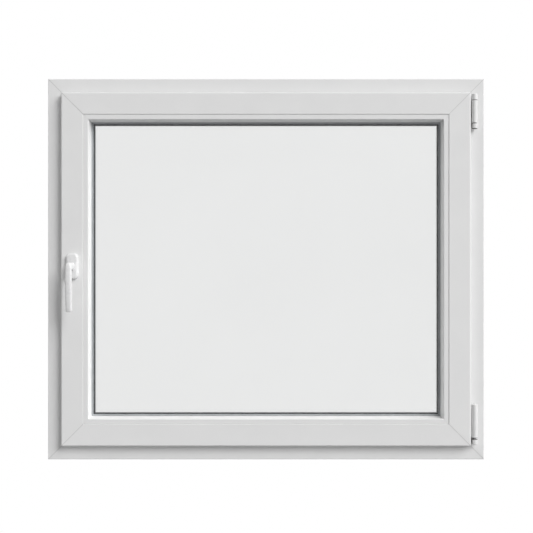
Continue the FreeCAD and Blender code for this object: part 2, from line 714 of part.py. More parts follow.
draw_outline(strap_slot, rectangle(f"-{past_cover}", half_slot, slot_front, past_cover))
pocket(cover, "cover_slot", strap_slot, f"{SLOT_HIGH} - {LEAF_LOW}")
slot_for_web(cover, LEAF_LOW, SLOT_HIGH)
place_on_hinge_line(cover)

# The handle: a rosette on the lock stile and a lever that turns in it.
HANDLE_ACROSS = "(-Sizes.frame_width / 2 + Sizes.handle_inset)"
HANDLE_HEIGHT = "(Sizes.frame_height / 2 + Sizes.handle_rise)"


def place_on_spindle(body):
    """Moves a handle piece to the spindle on the face of the lock stile."""
    body.setExpression(".Placement.Base.x", HANDLE_ACROSS)
    body.setExpression(".Placement.Base.y", SASH_FRONT)
    body.setExpression(".Placement.Base.z", HANDLE_HEIGHT)
    doc.recompute()
    return keep(body)


def runs_along_y(edge):
    """True for a straight edge that runs straight out of the sash."""
    box = edge.BoundBox
    return box.XLength < 0.01 and box.ZLength < 0.01


rosette = new_body("handle_rosette")
shield = new_sketch(rosette, "rosette_outline", "XZ_Plane")
half_width = "Sizes.rosette_width / 2"
half_length = "Sizes.rosette_length / 2"
draw_outline(shield, rectangle(f"-{half_width}", half_width, f"-{half_length}", half_length))
pad(rosette, "rosette_body", shield, "Sizes.rosette_thickness")
dress(rosette, "Fillet", "rosette_corners", runs_along_y, "Sizes.rosette_corner")
face = -value("Sizes.rosette_thickness")
shoulder = face + value("Sizes.rosette_bevel")


def at_face(edge):
    """True for an edge around the rosette's face."""
    return level_with(edge, "Y", face)


def beside_bevel(edge):
    """True for an edge along either side of the rosette's bevel."""
    return at_face(edge) or level_with(edge, "Y", shoulder)


dress(rosette, "Chamfer", "rosette_edge", at_face, "Sizes.rosette_bevel")
dress(rosette, "Chamfer", "rosette_eased", beside_bevel, "Sizes.rosette_ease")
socket = new_sketch(rosette, "rosette_socket_outline", "XZ_Plane", "Sizes.rosette_thickness")
draw_circle(socket, "0", "0", "Sizes.neck_radius + Sizes.neck_fit")
pocket(rosette, "rosette_socket", socket, "Sizes.neck_sink + Sizes.neck_fit")
place_on_spindle(rosette)

lever = new_body("handle_lever")
GRIP_FRONT = "(Sizes.rosette_thickness + Sizes.lever_reach)"
grip = new_sketch(lever, "grip_outline", "XZ_Plane", f"{GRIP_FRONT} - Sizes.lever_thickness")
grip.setExpression(".AttachmentOffset.Rotation.Axis.x", "1")
grip.setExpression(".AttachmentOffset.Rotation.Axis.z", "0")
grip.setExpression(".AttachmentOffset.Rotation.Angle", "Sizes.lever_lean")
draw_outline(grip, [
    ("-Sizes.lever_end_width / 2", "-Sizes.lever_drop"),
    ("Sizes.lever_end_width / 2", "-Sizes.lever_drop"),
    ("Sizes.lever_width / 2", "Sizes.lever_top"),
    ("-Sizes.lever_width / 2", "Sizes.lever_top"),
])
pad(lever, "grip_bar", grip, "Sizes.lever_thickness")


def at_foot(edge):
    """True for an edge around the grip's lower end."""
    return edge.BoundBox.ZMax < value("Sizes.lever_thickness - Sizes.lever_drop")


def across_head(edge):
    """True for a level edge across the grip's upper end."""
    box = edge.BoundBox
    return box.ZLength < 0.001 and box.YLength < 0.001 and box.ZMax > 0


def at_elbow(edge):
    """True for the level edge at the front of the grip's upper end."""
    middle = value(f"{GRIP_FRONT} - Sizes.lever_thickness / 2")
    return across_head(edge) and edge.BoundBox.YMax < -middle


def along_grip(edge):
    """True for an edge that runs down the grip or over its elbow."""
    return not at_foot(edge) and not across_head(edge)


dress(lever, "Fillet", "elbow", at_elbow, "Sizes.elbow_round")
dress(lever, "Fillet", "grip_edges", along_grip, "Sizes.lever_round")
dress(lever, "Chamfer", "grip_foot", at_foot, "Sizes.lever_end_bevel")
NECK_ROOT = "(Sizes.rosette_thickness + Sizes.neck_gap)"
neck = new_sketch(lever, "neck_outline", "XZ_Plane", NECK_ROOT)
draw_oblong(neck, "Sizes.neck_width / 2", "Sizes.neck_flank / 2")
pad(lever, "neck", neck, f"{GRIP_FRONT} - Sizes.lever_thickness / 2 - {NECK_ROOT}")
collar = new_sketch(lever, "collar_outline", "XZ_Plane", "Sizes.rosette_thickness - Sizes.neck_sink")
draw_circle(collar, "0", "0", "Sizes.neck_radius")
pad(lever, "collar", collar, f"{NECK_ROOT} + Sizes.neck_sink - Sizes.rosette_thickness")
place_on_spindle(lever)

# Two caps over the drain slots on the outdoor face of the sill.
cap = new_body("drain_cap")
shell = new_sketch(cap, "drain_cap_outline", "XZ_Plane", f"-{OUT_FACE} - Sizes.drain_cap_depth")
cap_left = "Sizes.drain_cap_spread - Sizes.drain_cap_length / 2"
cap_right = "Sizes.drain_cap_spread + Sizes.drain_cap_length / 2"
cap_low = "Sizes.drain_cap_level - Sizes.drain_cap_height / 2"
cap_high = "Sizes.drain_cap_level + Sizes.drain_cap_height / 2"
draw_outline(shell, rectangle(cap_left, cap_right, cap_low, cap_high))
pad(cap, "drain_cap_body", shell, "Sizes.drain_cap_depth")
cap_face = value(f"{OUT_FACE} + Sizes.drain_cap_depth")
dress(cap, "Fillet", "drain_cap_round", lambda edge: level_with(edge, "Y", cap_face), "Sizes.edge_round")
twin = doc.addObject("Part::Mirroring", "drain_cap_twin")
twin.Source = cap
twin.Normal = Vector(1, 0, 0)
caps = doc.addObject("Part::Compound", "drain_caps")
caps.Label = "drain_caps"
caps.Links = [cap, twin]
doc.recompute()
keep(caps)

# Every object is checked, then each piece is written to its own file.
doc.recompute()
for item in doc.Objects:
    if "Invalid" in item.State or "Error" in item.State:
        raise RuntimeError(f"{item.Label} did not build")
os.makedirs("parts", exist_ok=True)
for piece in nodes:
    shape = piece.Shape
    if shape.isNull() or not shape.isValid() or not shape.Solids:
        raise RuntimeError(f"{piece.Label} is not a sound solid")
    shape.exportStep(f"parts/{piece.Label}.step")
    box = shape.BoundBox
    print(
        f"{piece.Label}: {len(shape.Solids)} solid, {shape.Volume / 1000:.1f} cm3,"
        f" {box.XLength:.1f} x {box.YLength:.1f} x {box.ZLength:.1f} mm"
    )
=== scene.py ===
# %% [markdown]
# # A white tilt and turn window
#
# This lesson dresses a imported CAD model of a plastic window: a welded frame, a sash that laps
# over it, glazing beads, double glass, two covered hinges and a lever handle. The CAD nodes give
# every size and place, and none of them moves here. They get their finish, and the few pieces
# whose soft curves matter are worked out again as smooth surfaces that stand for their nodes.

# %% Load the window
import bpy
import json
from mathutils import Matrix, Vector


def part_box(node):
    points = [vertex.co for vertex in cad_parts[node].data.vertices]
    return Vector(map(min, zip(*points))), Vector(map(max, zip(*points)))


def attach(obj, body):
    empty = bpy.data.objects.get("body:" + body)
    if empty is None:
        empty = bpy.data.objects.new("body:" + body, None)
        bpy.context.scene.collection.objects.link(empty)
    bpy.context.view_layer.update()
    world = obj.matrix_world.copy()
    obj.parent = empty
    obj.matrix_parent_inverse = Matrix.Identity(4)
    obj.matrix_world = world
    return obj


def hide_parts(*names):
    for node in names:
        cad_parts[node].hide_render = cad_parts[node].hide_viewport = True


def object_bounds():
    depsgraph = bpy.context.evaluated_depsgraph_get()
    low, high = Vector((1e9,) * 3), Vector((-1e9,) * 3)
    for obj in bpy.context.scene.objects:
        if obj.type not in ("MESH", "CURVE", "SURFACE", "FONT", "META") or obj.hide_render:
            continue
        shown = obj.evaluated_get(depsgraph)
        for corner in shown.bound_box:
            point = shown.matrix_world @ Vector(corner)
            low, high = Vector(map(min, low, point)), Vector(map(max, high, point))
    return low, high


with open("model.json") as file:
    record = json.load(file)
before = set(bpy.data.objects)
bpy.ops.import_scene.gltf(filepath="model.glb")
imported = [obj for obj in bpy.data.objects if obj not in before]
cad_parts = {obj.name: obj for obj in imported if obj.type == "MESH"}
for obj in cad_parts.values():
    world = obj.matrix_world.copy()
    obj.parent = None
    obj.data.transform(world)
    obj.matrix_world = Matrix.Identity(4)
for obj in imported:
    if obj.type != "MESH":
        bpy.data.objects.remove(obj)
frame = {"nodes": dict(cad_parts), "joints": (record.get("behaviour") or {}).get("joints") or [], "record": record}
cad_low, cad_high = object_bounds()
nodes = frame["nodes"]
print("window box from", [round(v, 4) for v in cad_low], "to", [round(v, 4) for v in cad_high])

# %% [markdown]
# ## The camera
#
# The picture is taken straight on. Depth then shows only through perspective: the sides of the
# beads open towards the middle of the glass, and the lever seems pushed outwards. So the distance
# matters, and the lens follows from it: the frame has to fill as many pixels as it does in the
# photograph. A long lens further away would flatten the beads to nothing.

# %% Camera
import math

import bpy

IMAGE_SIDE = 533
FRAME_LEFT_PIXEL = 48.0
FRAME_RIGHT_PIXEL = 484.0
FRAME_MIDDLE_DOWN_PIXEL = 269.2
CAMERA_DISTANCE = 2.35
SENSOR_WIDTH = 36.0

room_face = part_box("frame_sill")[0].y
frame_width = cad_high.x - cad_low.x
frame_middle_up = (cad_low.z + cad_high.z) / 2
metres_per_pixel = frame_width / (FRAME_RIGHT_PIXEL - FRAME_LEFT_PIXEL)
picture_middle = IMAGE_SIDE / 2
frame_middle_pixel = (FRAME_LEFT_PIXEL + FRAME_RIGHT_PIXEL) / 2

lens = bpy.data.cameras.new("straight_on")
lens.sensor_width = SENSOR_WIDTH
lens.lens = SENSOR_WIDTH * CAMERA_DISTANCE / (IMAGE_SIDE * metres_per_pixel)
camera = bpy.data.objects.new("straight_on", lens)
camera.location = (
    (picture_middle - frame_middle_pixel) * metres_per_pixel,
    room_face - CAMERA_DISTANCE,
    frame_middle_up + (FRAME_MIDDLE_DOWN_PIXEL - picture_middle) * metres_per_pixel,
)
camera.rotation_euler = (math.pi / 2, 0, 0)
bpy.context.scene.collection.objects.link(camera)
bpy.context.scene.camera = camera
bpy.context.scene.view_settings.view_transform = "Standard"
print("lens", round(lens.lens, 2), "mm at", [round(v, 4) for v in camera.location])

# %% [markdown]
# ## Nodes in one line
#
# Materials are written as node trees. This helper adds a node and fills its inputs by name: a
# socket is linked and a plain number or colour is set, so a tree reads from top to bottom.

# %% Node helper
def fill_socket(tree, socket, given):
    """Links a socket into another, or sets a plain value on it."""
    if isinstance(given, bpy.types.NodeSocket):
        tree.links.new(given, socket)
    else:
        socket.default_value = given


def add_node(tree, kind, **inputs):
    """One node whose inputs are filled by name, with spaces written as underscores."""
    made = tree.nodes.new(kind)
    for name, given in inputs.items():
        fill_socket(tree, made.inputs[name.replace("_", " ")], given)
    return made


def add_math(tree, operation, first, second=0.0):
    """The result of one sum on two sockets or numbers."""
    made = tree.nodes.new("ShaderNodeMath")
    made.operation = operation
    fill_socket(tree, made.inputs[0], first)
    fill_socket(tree, made.inputs[1], second)
    return made.outputs[0]


def map_range(tree, given, low, high, to_low, to_high):
    """A socket carried from one range of numbers to another, and held within it."""
    made = add_node(
        tree, "ShaderNodeMapRange",
        Value=given, From_Min=low, From_Max=high, To_Min=to_low, To_Max=to_high,
    )
    return made.outputs[0]


print("node helpers ready")

# %% [markdown]
# ## Soft studio light
#
# The photograph shows one large soft light, on the right and rather high: the sash throws a soft
# shadow on the frame at its left and lower edges, and the sides of the beads that face up or right
# are the brightest parts. The sides that face left are still light, so there is a weaker lamp on
# the left too. Both are big squares set far away, so that the light falls off little from one side
# of the window to the other. A third one behind gives the outdoor side its daylight. It stands
# almost straight behind the panes, so it is kept out of mirror-like reflections: from outdoors it
# would show in them as a hard white square.

# %% Lamps
from mathutils import Vector

LAMP_DISTANCE = 40.0
KEY_PLACE = (1.1, -1.0, 1.0)
KEY_SIZE = 27.0
KEY_POWER = 18000.0
FILL_PLACE = (-2.6, -0.2, 0.9)
FILL_SIZE = 18.0
FILL_POWER = 3900.0
BACK_PLACE = (-0.3, 1.0, 0.25)
BACK_SIZE = 22.0
BACK_POWER = 12000.0

window_middle = (cad_low + cad_high) / 2


def add_softbox(name, place, size, power, mirrored=True):
    """A square area lamp that stands in a direction from the window and faces its middle."""
    direction = Vector(place).normalized()
    lamp = bpy.data.lights.new(name, "AREA")
    lamp.shape = "SQUARE"
    lamp.size = size
    lamp.energy = power
    softbox = bpy.data.objects.new(name, lamp)
    softbox.location = window_middle + direction * LAMP_DISTANCE
    softbox.rotation_euler = direction.to_track_quat("Z", "Y").to_euler()
    softbox.visible_camera = False
    softbox.visible_transmission = False
    softbox.visible_glossy = mirrored
    bpy.context.scene.collection.objects.link(softbox)
    print(name, "at", [round(v, 1) for v in softbox.location])


add_softbox("key_softbox", KEY_PLACE, KEY_SIZE, KEY_POWER)
add_softbox("fill_softbox", FILL_PLACE, FILL_SIZE, FILL_POWER)
add_softbox("back_softbox", BACK_PLACE, BACK_SIZE, BACK_POWER, mirrored=False)

# %% [markdown]
# ## White surround
#
# The background is plain white for the eye, through the glass and in mirror-like reflections, but
# it lights the window no more than a dim room would. Light Path tells these rays apart: the ones
# that end in the eye see white, and the ones that carry soft light see the level of the surround.

# %% World
SURROUND_LEVEL = 0.08
WHITE = (1, 1, 1, 1)


def eye_rays(tree):
    """One for rays of the camera, through glass or off a mirror, and nought for soft light."""
    rays = add_node(tree, "ShaderNodeLightPath").outputs
    direct = add_math(tree, "MAXIMUM", rays["Is Camera Ray"], rays["Is Transmission Ray"])
    return add_math(tree, "MAXIMUM", direct, rays["Is Glossy Ray"])


world = bpy.data.worlds.new("studio")
bpy.context.scene.world = world
world.use_nodes = True
tree = world.node_tree
tree.nodes.clear()
fill = add_node(tree, "ShaderNodeBackground", Color=WHITE, Strength=SURROUND_LEVEL)
white = add_node(tree, "ShaderNodeBackground", Color=WHITE, Strength=1.0)
seen = add_node(tree, "ShaderNodeMixShader", Fac=eye_rays(tree))
tree.links.new(fill.outputs[0], seen.inputs[1])
tree.links.new(white.outputs[0], seen.inputs[2])
ending = add_node(tree, "ShaderNodeOutputWorld")
tree.links.new(seen.outputs[0], ending.inputs["Surface"])
print("surround", SURROUND_LEVEL)

# %% [markdown]
# ## The floor
#
# A window of this kind sits about 90 cm above the floor. The floor is a large pale disc at that
# depth: it throws light up under the head of the window and takes its shadow. Towards its rim it
# brightens to plain white, so that no horizon shows.

# %% Floor
import numpy as np

SILL_HEIGHT = 0.9
FLOOR_RADIUS = 14.0
FLOOR_SIDES = 96
FLOOR_TONES = (0.44, 0.46)
FLOOR_LIFT = 0.72
RIM_SPAN = (1.2, 2.3)
GRAIN_SCALE = 9.0
NOISE_SPAN = (0.3, 0.7)


def disc_mesh(name, centre, radius, sides):
    """A flat disc: points at even angles round the centre, in one face."""
    angle = np.linspace(0, 2 * np.pi, sides, endpoint=False)
    rim = np.stack([np.cos(angle), np.sin(angle), np.zeros(sides)], axis=1) * radius + centre
    mesh = bpy.data.meshes.new(name)
    mesh.from_pydata(rim.tolist(), [], [list(range(sides))])
    return mesh


floor_centre = np.array([0.0, 0.0, cad_low.z - SILL_HEIGHT])
floor_disc = disc_mesh("floor", floor_centre, FLOOR_RADIUS, FLOOR_SIDES)
floor = bpy.data.objects.new("floor", floor_disc)
bpy.context.scene.collection.objects.link(floor)

pale = bpy.data.materials.new("pale_floor")
pale.use_nodes = True
tree = pale.node_tree
tree.nodes.clear()
place = add_node(tree, "ShaderNodeTexCoord").outputs["Object"]
grain = add_node(tree, "ShaderNodeTexNoise", Vector=place, Scale=GRAIN_SCALE, Detail=3.0)
tone = map_range(tree, grain.outputs["Fac"], *NOISE_SPAN, *FLOOR_TONES)
paint = add_node(tree, "ShaderNodeBsdfDiffuse", Color=tone)
away = tree.nodes.new("ShaderNodeVectorMath")
away.operation = "LENGTH"
flat_place = add_node(tree, "ShaderNodeMapping", Vector=place, Scale=(1, 1, 0))
tree.links.new(flat_place.outputs[0], away.inputs[0])
eye = eye_rays(tree)
lift_level = add_math(tree, "MULTIPLY", eye, FLOOR_LIFT)
lift = add_node(tree, "ShaderNodeEmission", Color=WHITE, Strength=lift_level)
near = add_node(tree, "ShaderNodeAddShader")
tree.links.new(paint.outputs[0], near.inputs[0])
tree.links.new(lift.outputs[0], near.inputs[1])
plain = add_node(tree, "ShaderNodeEmission", Color=WHITE, Strength=1.0)
rim = map_range(tree, away.outputs["Value"], *RIM_SPAN, 0.0, 1.0)
ground = add_node(tree, "ShaderNodeMixShader", Fac=add_math(tree, "MULTIPLY", rim, eye))
tree.links.new(near.outputs[0], ground.inputs[1])
tree.links.new(plain.outputs[0], ground.inputs[2])
ending = add_node(tree, "ShaderNodeOutputMaterial")
tree.links.new(ground.outputs[0], ending.inputs["Surface"])
floor.data.materials.append(pale)
print("floor at", round(floor_centre[2], 3))

# %% [markdown]
# ## What an extruded profile looks like close up
#
# White window plastic is pressed through a die, so its skin has very fine lines along the length
# and a faint cloudiness. Both are needed by the frame, the sash and the beads, so they are one
# node group: noise drawn out sixty times along the profile for the die lines, and slow noise for
# the clouds. The group gives plain values, and each material says what to do with them.

# %% Extruded skin group
def new_group(name, inputs, outputs):
    """An empty shader group with named sockets, and its two end nodes."""
    group = bpy.data.node_groups.new(name, "ShaderNodeTree")
    for label, kind, start in inputs:
        socket = group.interface.new_socket(name=label, in_out="INPUT", socket_type=kind)
        if start is not None:
            socket.default_value = start
    for label, kind in outputs:
        group.interface.new_socket(name=label, in_out="OUTPUT", socket_type=kind)
    return group, group.nodes.new("NodeGroupInput"), group.nodes.new("NodeGroupOutput")


VECTOR = "NodeSocketVector"
NUMBER = "NodeSocketFloat"
DRAWN_OUT = 60

extruded, given, result = new_group(
    "extruded_skin",
    [("Place", VECTOR, None), ("Line Pitch", NUMBER, 0.001), ("Cloud Size", NUMBER, 0.08)],
    [("Lines", NUMBER), ("Clouds", NUMBER)],
)
drawn = extruded.nodes.new("ShaderNodeVectorMath")
drawn.operation = "MULTIPLY"
drawn.inputs[1].default_value = (1 / DRAWN_OUT, 1, 1)
extruded.links.new(given.outputs["Place"], drawn.inputs[0])
lines = add_node(
    extruded, "ShaderNodeTexNoise", Vector=drawn.outputs[0],
    Scale=add_math(extruded, "DIVIDE", 1.0, given.outputs["Line Pitch"]), Detail=2.0,
)
clouds = add_node(
    extruded, "ShaderNodeTexNoise", Vector=given.outputs["Place"],
    Scale=add_math(extruded, "DIVIDE", 1.0, given.outputs["Cloud Size"]), Detail=3.0,
)
extruded.links.new(lines.outputs["Fac"], result.inputs["Lines"])
extruded.links.new(clouds.outputs["Fac"], result.inputs["Clouds"])
print("group", extruded.name)

# %% [markdown]
# ## What a moulded piece looks like close up
#
# Hinge covers, seals and the painted handle have no direction. Their skin is a fine even ripple,
# like orange peel, with slow clouds beneath. Again one group serves them all.

# %% Moulded skin group
moulded, given, result = new_group(
    "moulded_skin",
    [("Place", VECTOR, None), ("Peel Size", NUMBER, 0.001), ("Cloud Size", NUMBER, 0.02)],
    [("Peel", NUMBER), ("Clouds", NUMBER)],
)
peel = add_node(
    moulded, "ShaderNodeTexNoise", Vector=given.outputs["Place"],
    Scale=add_math(moulded, "DIVIDE", 1.0, given.outputs["Peel Size"]), Detail=1.0,
)
clouds = add_node(
    moulded, "ShaderNodeTexNoise", Vector=given.outputs["Place"],
    Scale=add_math(moulded, "DIVIDE", 1.0, given.outputs["Cloud Size"]), Detail=3.0,
)
moulded.links.new(peel.outputs["Fac"], result.inputs["Peel"])
moulded.links.new(clouds.outputs["Fac"], result.inputs["Clouds"])
print("group", moulded.name)

# %% [markdown]
# ## Weld lines at the corners
#
# The corners of frame and sash are butt-welded, and the bead that squeezes out is cut off to a fine
# groove. The shade of that groove is painted as a grey line along it. All these grooves lie on the mitre: as
# far in from the side of the window as from its top or bottom. So the distance from the mitre is a
# simple sum on the place of a point, and a group turns it into a thin mask for both materials.

# %% Weld line group
WELD_HALF_WIDTH = 0.0007
WELD_SOFTNESS = 2.0

weld, given, result = new_group(
    "weld_line",
    [("Place", VECTOR, None), ("Half Width", NUMBER, WELD_HALF_WIDTH)],
    [("Mask", NUMBER)],
)
apart = add_node(weld, "ShaderNodeSeparateXYZ", Vector=given.outputs["Place"])
above_middle = add_math(weld, "SUBTRACT", apart.outputs["Z"], frame_middle_up)
off_middle = add_math(weld, "ABSOLUTE", above_middle)
off_axis = add_math(weld, "ABSOLUTE", apart.outputs["X"])
wider = frame_width / 2 - (cad_high.z - cad_low.z) / 2
mitre = add_math(weld, "ADD", off_middle, wider)
off_mitre = add_math(weld, "ABSOLUTE", add_math(weld, "SUBTRACT", mitre, off_axis))
edge = add_math(weld, "MULTIPLY", given.outputs["Half Width"], WELD_SOFTNESS)
mask = map_range(weld, off_mitre, given.outputs["Half Width"], edge, 1.0, 0.0)
weld.links.new(mask, result.inputs["Mask"])
print("group", weld.name)

# %% [markdown]
# ## Dust on ledges
#
# Whatever faces up gathers a little dust, in patches. The group looks at the Z of the normal and
# breaks the mask up with noise. It is kept so thin that it shows only as a slightly warmer white.

# %% Dust group
LEDGE_SPAN = (0.5, 0.95)
PATCH_SPAN = (0.35, 0.65)
PATCH_SCALE = 38.0
THINNEST_PATCH = 0.2

dust, given, result = new_group(
    "ledge_dust",
    [("Place", VECTOR, None), ("Facing", VECTOR, None), ("Amount", NUMBER, 0.1)],
    [("Mask", NUMBER)],
)
upward = add_node(dust, "ShaderNodeSeparateXYZ", Vector=given.outputs["Facing"]).outputs["Z"]
patches = add_node(
    dust, "ShaderNodeTexNoise", Vector=given.outputs["Place"], Scale=PATCH_SCALE, Detail=4.0
)
settled = add_math(
    dust, "MULTIPLY",
    map_range(dust, upward, *LEDGE_SPAN, 0.0, 1.0),
    map_range(dust, patches.outputs["Fac"], *PATCH_SPAN, THINNEST_PATCH, 1.0),
)
dust.links.new(add_math(dust, "MULTIPLY", settled, given.outputs["Amount"]), result.inputs["Mask"])
print("group", dust.name)

# %% [markdown]
# ## White plastic profile
#
# Frame, sash and beads are the same satin white plastic. Its colour wanders by two hundredths,
# its gloss with it, and the die lines follow the length of each member. The lines run along X on
# the level members, and a Mapping node turns them for the upright ones. Beads are only mitred, not
# welded, so they go without the painted shade of the weld groove.

# %% Profile plastic
def shader_of(tree):
    """The Principled shader of a material's tree."""
    return next(item for item in tree.nodes if item.type == "BSDF_PRINCIPLED")


def start_material(name):
    """A material with a Principled shader, and the place of each point on the piece."""
    made = bpy.data.materials.new(name)
    made.use_nodes = True
    tree = made.node_tree
    place = add_node(tree, "ShaderNodeTexCoord").outputs["Object"]
    return made, tree, shader_of(tree), place


def use_group(tree, group, **inputs):
    """A shared group placed in a material, its inputs filled by name."""
    made = tree.nodes.new("ShaderNodeGroup")
    made.node_tree = group
    for name, given in inputs.items():
        fill_socket(tree, made.inputs[name.replace("_", " ")], given)
    return made


def blend_colour(tree, amount, low, high):
    """A colour between two, by an amount from 0 to 1."""
    made = tree.nodes.new("ShaderNodeMix")
    made.data_type = "RGBA"
    tree.links.new(amount, made.inputs["Factor"])
    for socket, given in zip((made.inputs[6], made.inputs[7]), (low, high)):
        fill_socket(tree, socket, given if isinstance(given, bpy.types.NodeSocket) else (*given, 1))
    return made.outputs[2]


def lay_colour(tree, mask, colour):
    """A second colour laid over a material's own, as far as a mask says."""
    socket = shader_of(tree).inputs["Base Color"]
    tree.links.new(blend_colour(tree, mask, socket.links[0].from_socket, colour), socket)


DUST = (0.56, 0.54, 0.51)


def settle_dust(tree, place, amount):
    """Dust on the faces of a material that look up."""
    facing = add_node(tree, "ShaderNodeTexCoord").outputs["Normal"]
    lie = use_group(tree, dust, Place=place, Facing=facing, Amount=amount)
    lay_colour(tree, lie.outputs["Mask"], DUST)


def fill_skin(tree, shader, clouds, relief, low, high, smooth, rough, depth):
    """Colour and gloss from the clouds of a skin, and its relief as a bump of real depth."""
    spread = map_range(tree, clouds, *NOISE_SPAN, 0.0, 1.0)
    tree.links.new(blend_colour(tree, spread, low, high), shader.inputs["Base Color"])
    tree.links.new(map_range(tree, clouds, *NOISE_SPAN, smooth, rough), shader.inputs["Roughness"])
    bump = add_node(tree, "ShaderNodeBump", Strength=1.0, Distance=depth, Height=relief)
    tree.links.new(bump.outputs[0], shader.inputs["Normal"])


# Grey of the shade that is painted into the weld grooves.
WELD_GROOVE_SHADE = (0.66, 0.66, 0.655)
MIRROR_LEVEL = {"white_profile": 0.45, "white_bead": 0.25}
LINE_PITCH = 0.0012
PROFILE_CLOUDS = 0.07
PROFILE_DUST = 0.10


def profile_plastic(name, slot, upright):
    """Satin white extruded plastic whose die lines run along the member, with painted groove shade at a weld."""
    made, tree, shader, place = start_material(name)
    quarter_turn = math.pi / 2 if upright else 0
    turn = add_node(tree, "ShaderNodeMapping", Vector=place, Rotation=(0, quarter_turn, 0))
    skin = use_group(
        tree, extruded, Place=turn.outputs[0], Line_Pitch=LINE_PITCH, Cloud_Size=PROFILE_CLOUDS
    )
    fill_skin(
        tree, shader, skin.outputs["Clouds"], skin.outputs["Lines"],
        low=(0.822, 0.822, 0.822), high=(0.840, 0.840, 0.838),
        smooth=0.28, rough=0.34, depth=0.000012,
    )
    shader.inputs["Specular IOR Level"].default_value = MIRROR_LEVEL[slot]
    settle_dust(tree, place, PROFILE_DUST)
    # A grey line along the mitre paints the shade of the weld groove.
    if slot == "white_profile":
        line = use_group(tree, weld, Place=place, Half_Width=WELD_HALF_WIDTH)
        lay_colour(tree, line.outputs["Mask"], WELD_GROOVE_SHADE)
    return made


PROFILES = {
    (slot, upright): profile_plastic(f"{slot}_{'upright' if upright else 'level'}", slot, upright)
    for slot in ("white_profile", "white_bead") for upright in (False, True)
}
print("materials", [made.name for made in PROFILES.values()])

# %% [markdown]
# ## Covers, handle and hinge steel
#
# The hinge covers are moulded in the same white, a little glossier. The handle is cast metal with
# a white powder coat, whose ripple is coarser. The hinge pins are steel with a dark, oily zinc
# coat, so they show as dark lines in the gaps of the covers.

# %% Moulded white, coat and steel
MOULDED_CLOUDS = 0.018
MOULDED_DUST = 0.08


def moulded_finish(name, low, high, smooth, rough, peel_size, depth, metal=0.0):
    """An even moulded or painted surface, from its two colours and its ripple."""
    made, tree, shader, place = start_material(name)
    skin = use_group(
        tree, moulded, Place=place, Peel_Size=peel_size, Cloud_Size=MOULDED_CLOUDS
    )
    fill_skin(
        tree, shader, skin.outputs["Clouds"], skin.outputs["Peel"],
        low, high, smooth, rough, depth,
    )
    settle_dust(tree, place, MOULDED_DUST)
    shader.inputs["Metallic"].default_value = metal
    return made


def cover_plastic(name):
    """The white of the hinge covers and drain caps."""
    return moulded_finish(
        name, low=(0.80, 0.80, 0.80), high=(0.825, 0.825, 0.823),
        smooth=0.20, rough=0.28, peel_size=0.0009, depth=0.000008,
    )


white_cover = cover_plastic("white_cover")
white_handle = moulded_finish(
    "white_handle", low=(0.79, 0.79, 0.793), high=(0.815, 0.815, 0.817),
    smooth=0.24, rough=0.32, peel_size=0.0014, depth=0.000015,
)
hinge_steel = moulded_finish(
    "hinge_steel", low=(0.20, 0.20, 0.205), high=(0.30, 0.30, 0.305),
    smooth=0.34, rough=0.46, peel_size=0.0006, depth=0.00001, metal=1.0,
)
print("materials", white_cover.name, white_handle.name, hinge_steel.name)

# %% [markdown]
# ## Joints of the hinge covers
#
# Where two covers meet, the shade in the gap is painted as a dark line that is wider than the gap
# itself, and so is the shade under the foot of the upper pin. The pin of the upper hinge ends in a
# white knob, but its shaft is bare steel, and its band is painted darker still for the shade of its gap.
# All of these are a matter of height, so one group makes a band around a level, soft at its edges.
# The same group, fed with coordinates turned by a right angle, paints shade on the side of a bearing
# or pin that lies close to the sash.

# %% Level band group
BAND_SOFTNESS = 1.4

band, given, result = new_group(
    "level_band",
    [("Place", VECTOR, None), ("Level", NUMBER, 0.0), ("Half Width", NUMBER, 0.001)],
    [("Mask", NUMBER)],
)
up = add_node(band, "ShaderNodeSeparateXYZ", Vector=given.outputs["Place"]).outputs["Z"]
off_level = add_math(band, "ABSOLUTE", add_math(band, "SUBTRACT", up, given.outputs["Level"]))
edge = add_math(band, "MULTIPLY", given.outputs["Half Width"], BAND_SOFTNESS)
mask = map_range(band, off_level, given.outputs["Half Width"], edge, 1.0, 0.0)
band.links.new(mask, result.inputs["Mask"])
print("group", band.name)

# %% Cover joints, with painted shade
# Dark grey of the shade painted at cover joints, under the pin's foot and beside the sash.
COVER_SHADE = (0.16, 0.16, 0.155)
# Near-black of the upper pin's bare steel shaft, painted darker for the shade in its gap.
SHAFT_STEEL_AND_SHADE = (0.035, 0.035, 0.036)
JOINT_SHADE_HALF_WIDTH = 0.0007
FOOT_SHADE_HALF_WIDTH = 0.0014
SIDE_SHADE_HALF_WIDTH = 0.0008
PIN_GAP = 0.002
SHAFT_HALF_WIDTH = 0.00084


def shaded_cover(name, bands, side=None):
    """Cover plastic with painted shade in bands around some levels, and on a side next to the sash."""
    made = cover_plastic(name)
    tree = made.node_tree
    place = add_node(tree, "ShaderNodeTexCoord").outputs["Object"]
    # Each band lays painted shade, or the shaft's steel darkened by painted shade, over the white.
    for level, half_width, colour in bands:
        ring = use_group(tree, band, Place=place, Level=level, Half_Width=half_width)
        lay_colour(tree, ring.outputs["Mask"], colour)
    # A strip of painted shade on the side that lies close to the sash.
    if side is not None:
        turned = add_node(tree, "ShaderNodeMapping", Vector=place, Rotation=(0, math.pi / 2, 0))
        strip = use_group(
            tree, band, Place=turned.outputs[0], Level=-side, Half_Width=SIDE_SHADE_HALF_WIDTH
        )
        lay_colour(tree, strip.outputs["Mask"], COVER_SHADE)
    return made


